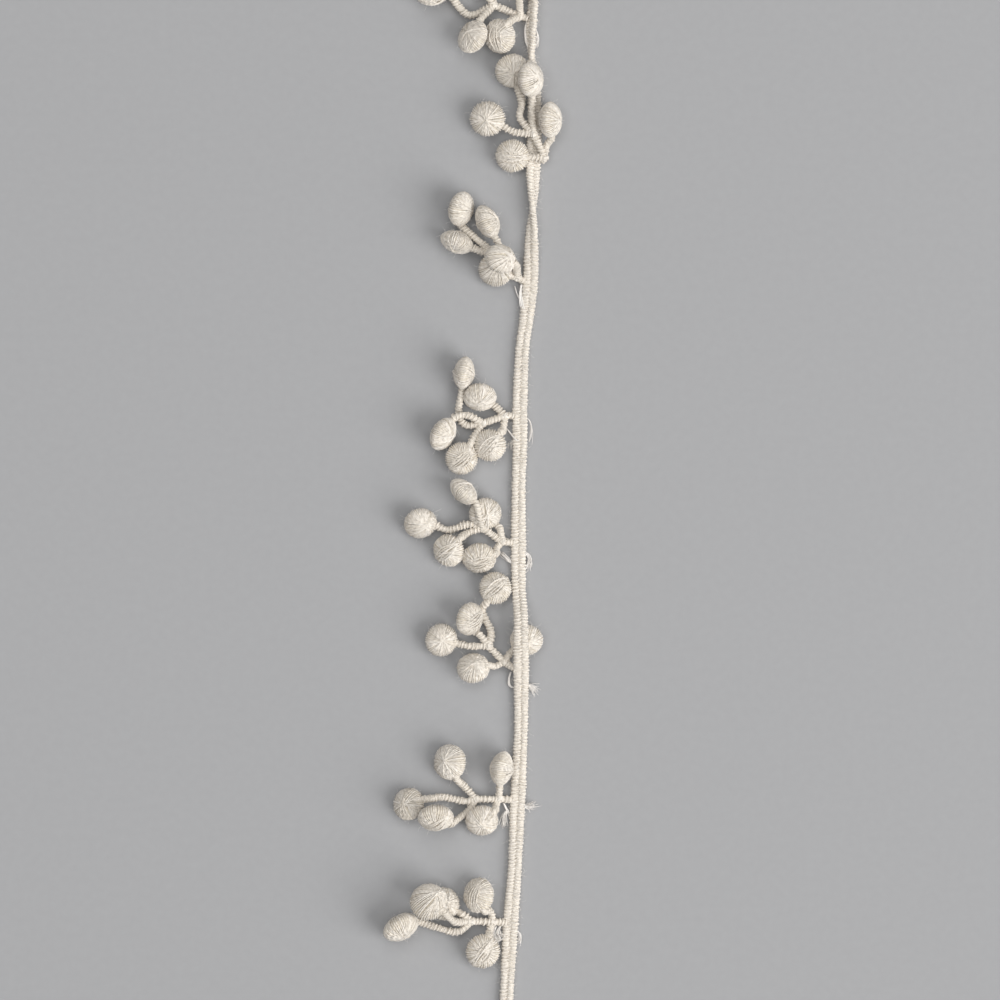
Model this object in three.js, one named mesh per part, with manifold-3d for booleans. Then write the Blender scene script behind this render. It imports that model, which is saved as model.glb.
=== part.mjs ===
// Berry lace trim: a cut length of guipure lace, lying on a surface.
// A heading of two wrapped cords runs along Y. At each repeat a forked spray leaves its edge, with
// two berries near the heading and three beyond them. Heading, stems and berries are stitched in one
// go on a ground that is washed away, so the trim is one solid.
// Millimetres, +Z up. The origin is on the heading's flat underside, at the middle of its length.

import * as THREE from "three";
import { mergeVertices } from "three/addons/utils/BufferGeometryUtils.js";
import Module from "manifold-3d";

// Driving dimensions
const REPEAT = 32.4; // heading length from one spray to the next
const CORD_DIAMETER = 2.05; // each of the heading's two cords
const CORD_SPACING = 1.95; // between the middles of the two cords
const HEADING_WAIST = 0.1; // share of its width that the heading loses midway between two sprays
const GROOVE_DEPTH = 0.55; // between the two cords, as a share of their height above the middle
const STEM_DIAMETER = 1.95;
const BERRY_DIAMETER = 8.4;
const BERRY_THICKNESS = 5.5;
const BERRY_FULLNESS = 0.58; // 0.5 is an ellipse in section, 1 a sharp-edged lens
const COTTON = { color: 0xe6dccb, roughness: 0.88, metalness: 0 };

// How finely the curved forms are faceted
const HEADING_STEPS = 3; // steps for each row of the heading's lay
const STEM_STEP = 3.2;
const STEM_SIDES = 5;
const BERRY_SIDES = 12;
const BERRY_RINGS = [0, 0.48, 0.82]; // share of the berry's radius, from the crown towards the rim
const STEM_BITE = 0.45; // how far a stem runs into its berry, as a share of the berry's radius
const SHORTEST_EDGE = 0.04; // what is shorter is closed up where forms are joined
const SAME_PLACE = 1e-4; // corners this close are one corner
const HALVINGS = 30; // of the heading's length, to find a place along it

// Lay of the heading, from the upper end down. along and side place its middle on the surface, lift
// raises it over what lies beneath, and turn rolls it about its own length, in degrees: 90 stands
// it on edge, and 180 lays it face down.
const HEADING_LAY = [
  { along: 135, side: 3.9, lift: 0, turn: 65 },
  { along: 125, side: 3.7, lift: 0, turn: 65 },
  { along: 117, side: 3.1, lift: 0, turn: 58 },
  { along: 111, side: 3.3, lift: 0, turn: 92 },
  { along: 103, side: 3.9, lift: 0, turn: 180 },
  { along: 93, side: 4.0, lift: 0, turn: 180 },
  { along: 83, side: 3.7, lift: 0, turn: 160 },
  { along: 72.5, side: 3.6, lift: 0, turn: 90 },
  { along: 66, side: 3.3, lift: 0, turn: 35 },
  { along: 55, side: 3.0, lift: 0, turn: 0 },
  { along: 46, side: 2.1, lift: 0, turn: 0 },
  { along: 37, side: 0.9, lift: 0, turn: 0 },
  { along: 25, side: 0.4, lift: 0, turn: 0 },
  { along: 14, side: 0.4, lift: 0, turn: 0 },
  { along: 5, side: 0.1, lift: 0, turn: 0 },
  { along: -5, side: 0, lift: 0, turn: 0 },
  { along: -14, side: 0, lift: 0, turn: 0 },
  { along: -22, side: 0.1, lift: 0.4, turn: 0 },
  { along: -29, side: 0.6, lift: 3.4, turn: 0 },
  { along: -35, side: 0.6, lift: 5.0, turn: 0 },
  { along: -41, side: 0.7, lift: 3.2, turn: 0 },
  { along: -48, side: 0.7, lift: 0.4, turn: 0 },
  { along: -58, side: 0.6, lift: 0, turn: 0 },
  { along: -70, side: 0.1, lift: 0, turn: 0 },
  { along: -80, side: -0.4, lift: 0, turn: 0 },
  { along: -92, side: -0.9, lift: 0, turn: 0 },
  { along: -105, side: -1.9, lift: 0, turn: 0 },
  { along: -116, side: -2.5, lift: 0, turn: 0 },
  { along: -128, side: -3.2, lift: 0, turn: 0 },
];

// Lay of the sprays, from the upper end down. along is the root's place on the heading, and edge the
// heading's edge that it leaves: -1 left, 1 right, where the heading lies face down. Every place is
// [out, up, high]: out to the left of the heading's middle, up along it from the root, and high above
// the surface. The fork carries the two near berries, the crown the three far ones.
// A berry's at is [out, up] of its middle. Its face tips by lean degrees from level, towards the
// compass angle in toward (0 is +X, 90 is +Y), and rise is its height over lying on the surface.
// size scales it where it isn't 1, and via are places that its stem passes on the way.
const SPRAYS = [
  {
    along: 120.5,
    edge: -1,
    fork: [2.9, 0.5, 1.8],
    crown: [9.4, 3.2, 2.6],
    near: [
      { at: [3.5, 8.6], lean: 20, toward: 90, rise: 0, via: [] },
      { at: [8.0, -4.6], lean: 32, toward: 200, rise: 0, size: 1.06, via: [] },
    ],
    far: [
      { at: [14.4, 10.4], lean: 25, toward: 120, rise: 0, via: [] },
      { at: [24.7, 5.8], lean: 76, toward: 280, rise: 0, via: [[15.8, 0.8, 2.2]] },
      { at: [14.8, -4.8], lean: 46, toward: 150, rise: 0.9, size: 1.05, via: [[12.0, 0.6, 3.4]] },
    ],
  },
  {
    along: 85.5,
    edge: 1,
    fork: [-2.7, 0, 2.6],
    crown: [0, 6.0, 3.6],
    near: [
      { at: [-4.2, 9.4], lean: 70, toward: 0, rise: 0, size: 1.08, via: [[-3.2, 3.0, 2.4]] },
      { at: [5.3, 0.5], lean: 14, toward: 265, rise: 0, size: 1.03, via: [[0.4, 0.2, 3.2]] },
    ],
    far: [
      { at: [11.5, 9.8], lean: 8, toward: 250, rise: 0, size: 1.08, via: [[4.6, 6.4, 3.2]] },
      { at: [5.3, 21.8], lean: 20, toward: 290, rise: 0, size: 1.06, via: [[3.4, 10, 2.8], [2.9, 13.8, 2.8]] },
      { at: [0.7, 19.4], lean: 57, toward: 0, rise: 1.9, size: 1.06, via: [[0.4, 11.5, 4.4]] },
    ],
  },
  {
    along: 54.7,
    edge: -1,
    fork: [3.2, 1.0, 1.8],
    crown: [8.2, 6.4, 4.2],
    near: [
      { at: [7.4, 5.4], lean: 30, toward: 55, rise: 4.7, size: 0.95, via: [] },
      { at: [8.6, 2.9], lean: 18, toward: 265, rise: 0, size: 1.08, via: [] },
    ],
    far: [
      { at: [10.8, 14.8], lean: 80, toward: 25, rise: 0, size: 1.06, via: [[8.0, 9.4, 4.0]] },
      { at: [17.3, 18.0], lean: 60, toward: 345, rise: 0, size: 1.07, via: [[12.9, 10.0, 3.6]] },
      { at: [18.4, 9.7], lean: 80, toward: 250, rise: 0, size: 1.04, via: [[12.0, 7.3, 4.0]] },
    ],
  },
  {
    along: 21.2,
    edge: -1,
    fork: [3.7, -0.2, 1.8],
    crown: [9.2, -2.0, 2.4],
    near: [
      { at: [10.0, 4.5], lean: 40, toward: 270, rise: 0, via: [] },
      { at: [7.5, -7.5], lean: 11, toward: 225, rise: 0, via: [[4.3, -3.6, 2.0]] },
    ],
    far: [
      { at: [14.0, 10.5], lean: 86, toward: 352, rise: 0, via: [[13.4, -2.5, 1.6], [15.3, 0.4, 1.6]] },
      { at: [19.2, -4.7], lean: 64, toward: 330, rise: 0, size: 1.05, via: [[13.2, 0, 3.6], [16, -0.4, 3.6]] },
      { at: [14.6, -10.8], lean: 12, toward: 310, rise: 0.3, via: [[11.3, -5.2, 2.6]] },
    ],
  },
  {
    along: -10.5,
    edge: -1,
    fork: [4.0, 0.2, 1.8],
    crown: [9.0, 3.5, 2.4],
    near: [
      { at: [8.3, 7.1], lean: 18, toward: 300, rise: 0, via: [[4.6, 3.2, 2.2]] },
      { at: [9.8, -4.0], lean: 32, toward: 270, rise: 0, size: 1.03, via: [[5.6, -1.8, 2.0]] },
    ],
    far: [
      { at: [13.7, 12.6], lean: 84, toward: 48, rise: 0.8, size: 0.98, via: [[9.9, 7.2, 5.9]] },
      { at: [24.5, 4.7], lean: 28, toward: 290, rise: 0, via: [[12.2, 4.5, 2.6], [17.3, 3.0, 2.2]] },
      { at: [17.4, -2.1], lean: 24, toward: 205, rise: 0, via: [[12.8, 2.2, 2.4]] },
    ],
  },
  {
    along: -42.5,
    edge: -1,
    fork: [4.2, 2.0, 1.9],
    crown: [8.2, 6.0, 2.4],
    near: [
      { at: [-1.3, 7.5], lean: 22, toward: 270, rise: 0, via: [[2.9, 4.1, 1.8]] },
      { at: [12.0, 0.5], lean: 30, toward: 95, rise: 0, via: [[6.6, 0.9, 1.9]] },
    ],
    far: [
      { at: [6.5, 20.5], lean: 10, toward: 45, rise: 0, via: [[7.6, 9.6, 1.8], [9.9, 14.8, 1.6]] },
      { at: [12.9, 12.8], lean: 44, toward: 345, rise: 0.9, via: [[10.2, 8.6, 2.8]] },
      { at: [20.0, 7.5], lean: 12, toward: 340, rise: 0, via: [[13.0, 6.0, 2.4]] },
    ],
  },
  {
    along: -75,
    edge: -1,
    fork: [4.7, 0.2, 1.8],
    crown: [10.5, 0.2, 2.4],
    near: [
      { at: [4.0, 7.95], lean: 80, toward: 350, rise: 0, size: 1.06, via: [] },
      { at: [9.0, -5.1], lean: 24, toward: 275, rise: 0, via: [[5.6, -1.6, 2.0]] },
    ],
    far: [
      { at: [17.0, 9.5], lean: 28, toward: 175, rise: 0, size: 1.08, via: [[13.0, 3.0, 2.4]] },
      { at: [27.3, -1.0], lean: 26, toward: 155, rise: 0, via: [[13.2, -0.3, 2.7], [18.9, 0.8, 2.8], [21.2, 0.4, 2.8]] },
      { at: [20.5, -4.2], lean: 53, toward: 272, rise: 3.2, size: 1.08, via: [[12.4, -2.8, 2.4], [15.2, -4.8, 2.6]] },
    ],
  },
  {
    along: -105.7,
    edge: -1,
    fork: [4.5, 0.2, 1.8],
    crown: [9.7, 0.4, 2.4],
    near: [
      { at: [8.0, 6.95], lean: 34, toward: 170, rise: 0, size: 1.06, via: [[5.1, 3.0, 2.2]] },
      { at: [6.95, -7.1], lean: 12, toward: 320, rise: 0, size: 1.06, via: [[5.5, -2.6, 2.2]] },
    ],
    far: [
      { at: [16.7, 4.8], lean: 20, toward: 20, rise: 0, via: [[12.2, 2.2, 2.6]] },
      { at: [20.5, 5.5], lean: 18, toward: 110, rise: 4.3, size: 1.14, via: [[14.0, 0.4, 4.6]] },
      { at: [27.4, -1], lean: 66, toward: 300, rise: 0, size: 1.14, via: [[13.3, -2.3, 2.4], [19, -1, 2.4]] },
    ],
  },
];

const UP = new THREE.Vector3(0, 0, 1);
const radians = THREE.MathUtils.degToRad;

const wasm = await Module();
wasm.setup();

// A closed three.js geometry as a solid that can be joined to others
function solidOf(geometry) {
  const bare = geometry.clone();
  bare.deleteAttribute("normal");
  bare.deleteAttribute("uv");
  const merged = mergeVertices(bare, SAME_PLACE);
  return new wasm.Manifold(
    new wasm.Mesh({
      numProp: 3,
      vertProperties: merged.attributes.position.array,
      triVerts: new Uint32Array(merged.index.array),
    }),
  );
}

function geometryOf(solid) {
  const { vertProperties, triVerts } = solid.getMesh();
  const geometry = new THREE.BufferGeometry();
  geometry.setAttribute("position", new THREE.BufferAttribute(vertProperties, 3));
  geometry.setIndex(new THREE.BufferAttribute(triVerts, 1));
  return geometry;
}

// Closes up the very short edges that joining leaves where two surfaces nearly meet. An edge is closed
// only where its ends share two neighbours, so that the surface stays closed.
function withoutShortEdges(geometry) {
  const { position } = geometry.attributes;
  const point = (_, i) => new THREE.Vector3().fromBufferAttribute(position, i);
  const points = Array.from({ length: position.count }, point);
  const triangles = [];
  for (let i = 0; i < geometry.index.count; i += 3) triangles.push([...geometry.index.array.slice(i, i + 3)]);
  const around = points.map(() => new Set());
  triangles.forEach((corners, t) => corners.forEach((corner) => around[corner].add(t)));
  const neighbours = (corner) => new Set([...around[corner]].flatMap((t) => triangles[t]));

  const closeUp = (kept, dropped) => {
    for (const t of [...around[dropped]]) {
      const corners = triangles[t];
      corners.forEach((corner) => around[corner].delete(t));
      triangles[t] = corners.map((corner) => (corner === dropped ? kept : corner));
      if (corners.includes(kept)) triangles[t] = [];
      triangles[t].forEach((corner) => around[corner].add(t));
    }
  };

  for (const t of triangles.keys()) {
    for (const [i, j] of [[0, 1], [1, 2], [2, 0]]) {
      const [a, b] = [triangles[t][i], triangles[t][j]];
      if (triangles[t].length === 0 || points[a].distanceTo(points[b]) > SHORTEST_EDGE) continue;
      if (neighbours(a).intersection(neighbours(b)).size === 4) closeUp(a, b);
    }
  }
  const tidy = geometry.clone();
  tidy.setIndex(triangles.flat());
  tidy.computeVertexNormals();
  return tidy;
}

// A smooth curve through hand-set places
function routeThrough(points) {
  return new THREE.CatmullRomCurve3(points, false, "catmullrom");
}

// A capped cylinder whose rings are moved to the stations of a route. A station has the place of its
// middle, its two axes and its section, as [across, up] corners counted round from across.
function sweep(stations) {
  const corners = stations[0].section.length;
  const tube = new THREE.CylinderGeometry(1, 1, 1, corners, stations.length - 1);
  const position = tube.attributes.position;
  const moved = new THREE.Vector3();
  for (let i = 0; i < position.count; i++) {
    const [x, y, z] = [position.getX(i), position.getY(i), position.getZ(i)];
    const { middle, across, up, section } = stations[Math.round((0.5 - y) * (stations.length - 1))];
    const turn = Math.round((Math.atan2(x, z) / (2 * Math.PI)) * corners);
    const [a, b] = section[(turn + corners) % corners];
    const rim = Math.round(Math.hypot(x, z)); // 0 at the middle of an end cap
    moved.copy(middle).addScaledVector(across, a * rim).addScaledVector(up, b * rim);
    position.setXYZ(i, moved.x, moved.y, moved.z);
  }
  return tube;
}

// The level and upright axes across a route, seen along its tangent
function axesAcross(tangent) {
  const across = new THREE.Vector3().crossVectors(tangent, UP).normalize();
  const up = new THREE.Vector3().crossVectors(across, tangent).normalize();
  return { across, up };
}

// Heading: two cords side by side, with a groove between them on the face and a flat underside
const headingCurve = routeThrough(HEADING_LAY.map((row) => new THREE.Vector3(row.side, row.along, row.lift)));
const turnCurve = routeThrough(HEADING_LAY.map((row) => new THREE.Vector3(row.turn, 0, 0)));
const headingSpans = HEADING_LAY.length - 1;

function headingSection(along) {
  const offset = Math.min(...SPRAYS.map((spray) => Math.abs(spray.along - along))) / (REPEAT / 2);
  const width = 1 - HEADING_WAIST * THREE.MathUtils.smoothstep(offset, 0, 1);
  const radius = CORD_DIAMETER / 2;
  const middle = CORD_SPACING / 2;
  const half = radius * Math.sin(Math.PI / 3);
  const groove = half * (1 - GROOVE_DEPTH);
  const corners = [
    [middle + radius, 0],
    [middle + radius / 2, half],
    [middle - radius / 2, half],
    [0, groove],
    [-middle + radius / 2, half],
    [-middle - radius / 2, half],
    [-middle - radius, 0],
    [-middle - radius / 2, -half],
    [middle + radius / 2, -half],
  ];
  return corners.map(([across, up]) => [across * width, up]);
}

// The heading's station at a place on its curve, from 0 at the upper end to 1 at the lower end.
// Its middle is as high as its section needs to stand on the surface at that roll.
function headingStation(t) {
  const middle = headingCurve.getPoint(t);
  const lift = Math.max(0, middle.z);
  const roll = radians(turnCurve.getPoint(t).x);
  const section = headingSection(middle.y);
  const tangent = headingCurve.getTangent(t).setZ(0).negate().normalize();
  const level = axesAcross(tangent);
  const [cos, sin] = [Math.cos(roll), Math.sin(roll)];
  const across = level.across.clone().multiplyScalar(cos).addScaledVector(level.up, sin);
  const up = level.up.clone().multiplyScalar(cos).addScaledVector(level.across, -sin);
  const depth = Math.max(...section.map(([a, b]) => -(a * sin + b * cos)));
  return { middle: middle.setZ(lift + depth), across, up, section };
}

function heading() {
  const count = headingSpans * HEADING_STEPS;
  const stations = Array.from({ length: count + 1 }, (_, i) => headingStation(1 - i / count));
  return sweep(stations);
}

// The heading's station nearest to a place along it
function headingAt(along) {
  let [low, high] = [0, 1];
  for (let i = 0; i < HALVINGS; i++) {
    const t = (low + high) / 2;
    if (headingCurve.getPoint(t).y > along) low = t;
    else high = t;
  }
  return headingStation(low);
}

// Berries: padded discs, crowned on both faces
function berryProfile(size) {
  const radius = (BERRY_DIAMETER / 2) * size;
  const half = (BERRY_THICKNESS / 2) * size;
  const height = (share) => half * (1 - share ** 2) ** BERRY_FULLNESS;
  const lower = BERRY_RINGS.map((share) => new THREE.Vector2(share * radius, -height(share)));
  const upper = BERRY_RINGS.map((share) => new THREE.Vector2(share * radius, height(share))).reverse();
  return [...lower, new THREE.Vector2(radius, 0), ...upper];
}

// Where a berry's middle lies, the way its face points, and the way it falls away below
function berryPose(spray, root, { at, lean, toward, rise, size = 1 }) {
  const [tip, compass] = [radians(lean), radians(toward)];
  const way = new THREE.Vector3(Math.cos(compass), Math.sin(compass), 0);
  const face = way.clone().multiplyScalar(Math.sin(tip)).setZ(Math.cos(tip));
  const fall = way.clone().multiplyScalar(Math.cos(tip)).setZ(-Math.sin(tip));
  const profile = berryProfile(size);
  const rest = Math.max(...profile.map((p) => p.x * Math.sin(tip) - p.y * Math.cos(tip)));
  const middle = placeFrom(root, spray, [at[0], at[1], rest + rise]);
  return { middle, face, fall, profile, radius: (BERRY_DIAMETER / 2) * size };
}

function berry({ middle, face, fall, profile }) {
  const basis = new THREE.Matrix4().makeBasis(new THREE.Vector3().crossVectors(face, fall), face, fall);
  return new THREE.LatheGeometry(profile, BERRY_SIDES).applyMatrix4(basis.setPosition(middle));
}

// Stems: round cords from a branching point, past their places, into the rim of a berry
function placeFrom(root, spray, [out, up, high]) {
  return new THREE.Vector3(root.middle.x - out, spray.along + up, high);
}

function stem(points) {
  const curve = routeThrough(points);
  const count = Math.max(3, Math.ceil(curve.getLength() / STEM_STEP));
  const radius = STEM_DIAMETER / 2;
  const section = Array.from({ length: STEM_SIDES }, (_, i) => {
    const angle = (2 * Math.PI * i) / STEM_SIDES;
    return [radius * Math.cos(angle), radius * Math.sin(angle)];
  });
  const stations = Array.from({ length: count + 1 }, (_, i) => {
    const middle = curve.getPoint(i / count);
    middle.z = Math.max(middle.z, radius);
    return { middle, ...axesAcross(curve.getTangent(i / count)), section };
  });
  return sweep(stations);
}

// A stem's last two places: the rim of its berry, on the side it comes from, and a bite inside it
function rimPlaces(from, { middle, face, radius }) {
  const inward = middle.clone().sub(from).projectOnPlane(face).normalize();
  const rim = middle.clone().addScaledVector(inward, -radius);
  const inside = middle.clone().addScaledVector(inward, -radius * (1 - STEM_BITE));
  return [rim, inside];
}

function branch(spray, root, start, row) {
  const pose = berryPose(spray, root, row);
  const passed = [start, ...row.via.map((place) => placeFrom(root, spray, place))];
  return [stem([...passed, ...rimPlaces(passed.at(-1), pose)]), berry(pose)];
}

function spraySolids(spray) {
  const root = headingAt(spray.along);
  const fork = placeFrom(root, spray, spray.fork);
  const crown = placeFrom(root, spray, spray.crown);
  const foot = root.middle.clone();
  foot.x += (spray.edge * CORD_SPACING) / 2;
  return [
    stem([foot, fork, crown]),
    ...spray.near.flatMap((row) => branch(spray, root, fork, row)),
    ...spray.far.flatMap((row) => branch(spray, root, crown, row)),
  ];
}

// The whole length, joined into the one piece that it is stitched as
const stitched = SPRAYS.flatMap(spraySolids).reduce(
  (whole, geometry) => whole.add(solidOf(geometry)),
  solidOf(heading()),
);

const surface = withoutShortEdges(geometryOf(stitched));
const trim = new THREE.Mesh(surface, new THREE.MeshStandardMaterial(COTTON));
trim.name = "berry_trim";

const part = new THREE.Group();
part.add(trim);

export default part;
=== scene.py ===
"""Dresses the berry lace trim thread by thread: its cords, stems, berries, loose ends and fuzz."""

import math

import bpy
import numpy as np
from mathutils import Matrix


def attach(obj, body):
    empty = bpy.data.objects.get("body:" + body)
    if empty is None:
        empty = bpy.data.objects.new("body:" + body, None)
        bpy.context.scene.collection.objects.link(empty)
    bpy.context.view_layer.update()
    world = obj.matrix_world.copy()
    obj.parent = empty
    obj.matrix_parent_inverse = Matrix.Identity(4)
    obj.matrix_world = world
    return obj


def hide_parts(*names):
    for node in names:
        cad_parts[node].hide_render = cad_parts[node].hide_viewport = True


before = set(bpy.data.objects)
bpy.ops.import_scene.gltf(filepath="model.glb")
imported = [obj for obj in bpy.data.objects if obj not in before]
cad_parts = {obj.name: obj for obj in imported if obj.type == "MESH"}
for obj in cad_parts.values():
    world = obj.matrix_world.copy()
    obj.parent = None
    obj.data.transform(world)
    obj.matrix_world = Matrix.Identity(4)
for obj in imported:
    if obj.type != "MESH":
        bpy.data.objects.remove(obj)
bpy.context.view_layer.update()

# Sizes in millimetres, and shares of them, as in the part's source
MM = 0.001
REPEAT = 32.4
CORD_DIAMETER = 2.05
CORD_SPACING = 1.95
HEADING_WAIST = 0.1
HEADING_HALF_HEIGHT = CORD_DIAMETER / 2 * math.sin(math.radians(60))
STEM_DIAMETER = 1.95
BERRY_DIAMETER = 8.4
BERRY_THICKNESS = 5.5
BERRY_FULLNESS = 0.58
STEM_BITE = 0.45

# Wound thread in millimetres: how far apart the wraps lie, and how thick their thread is.
# A shade goes from 0, the darkest thread, to 1, the lightest. A square below 1 flattens the wraps' round.
HEADING_PITCH = 0.88
HEADING_THREAD = 0.42
HEADING_SQUARE = 0.8
HEADING_SHADE = 0.62
STEM_PITCH = 0.9
STEM_THREAD = 0.42
STEM_SHADE = 0.38
STEM_SWELL = 1.04
STEM_UNEVEN = dict(amount=0.05, reach=2.0)
# Painted shade: the cores, seen only in the gaps between wraps, are painted darker than the wound thread
CORE_PAINTED_SHADE = 0.3
CORD_LAP = 0.25
# The two threads of a winding: where each starts, as a share of a turn, and how deep it lies
WRAP_STARTS = ((0, -0.03), (0.5, 0.15))
WRAP_WIDTH = 0.6
WRAP_DRIFT = 0.17
WRAP_LOOSE = 0.075
# Painted shade: a wrap thread is painted this much darker for each millimetre it lies deeper, and the proud
# one a touch lighter as painted light
DEPTH_PAINTED_SHADE = 1.5
# Points to a turn of the winding, of which the core takes one in every so many
HEADING_POINTS = 12
HEADING_CORE_EVERY = 8
STEM_POINTS = 10
STEM_CORE_EVERY = 4

# Berry stitches in millimetres. Later stitches pile up over the first where they cross, within the spread.
# A bar is a few last stitches side by side. A step is how far a stitch turns on from the one before it, and
# a drift reaches over so many stitches. The underlay's width and height are shares of the berry's.
STITCHES = 21
STITCH_POINTS = 24
STITCH_WIDTH = 0.4
STITCH_WIDTH_RANGE = (0.85, 1.12)
STITCH_HEIGHT = 0.42
STITCH_PROUD = 0.09
STITCH_STEPS = (0.7, 1.3)
STITCH_REACH = 0.05
STITCH_DRIFT = dict(amount=0.35, reach=4)
STITCH_WANDER = 0.08
STITCH_SINK = 0.2
PILE = 0.6
PILE_LEVEL = 0.6
PILE_SPREAD = 1.7
BAR_STITCHES = 5
BAR_STEP = 0.25
BAR_SPACING = 0.74
BAR_PILE = 0.24
UNDERLAY_WIDTH = 0.935
UNDERLAY_HEIGHT = 0.76

# Knots where stems meet, in millimetres, with their reach as a share of the stem's radius
KNOT_RINGS = 7
KNOT_POINTS = 16
KNOT_TILTS = [1, 1, 0.2]
KNOT_REACH = (0.9, 1.06)
KNOT_SPREAD = 0.2
KNOT_WIDTH = 0.5
KNOT_HEIGHT = 0.36
KNOT_LOWEST = 0.2

# Loose ends and fuzz in millimetres. A real fibre is about 0.02 thick, and is drawn thicker to show.
TAIL_TAPER = np.array([1, 1, 1, 1, 1, 1, 1, 0.95, 0.85, 0.5])
TAIL_SPREAD = [1, 1, 0.5]
TAIL_GATHER = 0.2
TAIL_CURL = 0.25
TAIL_SHADE = 0.75
FIBRE = 0.055
FUZZ_FIBRES = 7000
FUZZ_LENGTHS = (0.4, 1.5)
FUZZ_SPREAD = [1, 1, 0.6]
FUZZ_BEND = 0.6
FUZZ_CURL = 0.15
FUZZ_TAPER = np.array([1, 1, 0.9, 0.8, 0.5])
FUZZ_SHADE = 0.7
# A slant that no fibre is likely to follow, to lay its sides by
FUZZ_SLANT = np.array([0.31, 0.17, 0.93])

# Patterns of the materials: sizes in millimetres, counts round the thread, and strengths
CLOUD_SIZE = 5.0
CLOUD_TONE = 0.5
FIBRE_LENGTH = 0.5
FIBRES_AROUND = 9.0
PLIES = 2
PLY_RIDGE = 1.3
PLY_RELIEF = 0.6
UNDERLAY_STITCH = 0.5
ROLLER_MARK = 2.0
COTTON_IOR = 1.53

UP = np.array([0.0, 0.0, 1.0])
# Points for each place of a smooth curve, and points of a berry's profile
CURVE_POINTS = 80
PROFILE_POINTS = 40
# A fixed seed, so that every run gives the same threads
SEED = 17
chance = np.random.default_rng(SEED)

# Lay of the heading from its upper end down: how far along and aside it is and how high it lies, in
# millimetres, and its turn about its length, in degrees
HEADING_LAY = [
    dict(along=135, side=3.9, lift=0, turn=65),
    dict(along=125, side=3.7, lift=0, turn=65),
    dict(along=117, side=3.1, lift=0, turn=58),
    dict(along=111, side=3.3, lift=0, turn=92),
    dict(along=103, side=3.9, lift=0, turn=180),
    dict(along=93, side=4.0, lift=0, turn=180),
    dict(along=83, side=3.7, lift=0, turn=160),
    dict(along=72.5, side=3.6, lift=0, turn=90),
    dict(along=66, side=3.3, lift=0, turn=35),
    dict(along=55, side=3.0, lift=0, turn=0),
    dict(along=46, side=2.1, lift=0, turn=0),
    dict(along=37, side=0.9, lift=0, turn=0),
    dict(along=25, side=0.4, lift=0, turn=0),
    dict(along=14, side=0.4, lift=0, turn=0),
    dict(along=5, side=0.1, lift=0, turn=0),
    dict(along=-5, side=0, lift=0, turn=0),
    dict(along=-14, side=0, lift=0, turn=0),
    dict(along=-22, side=0.1, lift=0.4, turn=0),
    dict(along=-29, side=0.6, lift=3.4, turn=0),
    dict(along=-35, side=0.6, lift=5.0, turn=0),
    dict(along=-41, side=0.7, lift=3.2, turn=0),
    dict(along=-48, side=0.7, lift=0.4, turn=0),
    dict(along=-58, side=0.6, lift=0, turn=0),
    dict(along=-70, side=0.1, lift=0, turn=0),
    dict(along=-80, side=-0.4, lift=0, turn=0),
    dict(along=-92, side=-0.9, lift=0, turn=0),
    dict(along=-105, side=-1.9, lift=0, turn=0),
    dict(along=-116, side=-2.5, lift=0, turn=0),
    dict(along=-128, side=-3.2, lift=0, turn=0),
]
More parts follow.
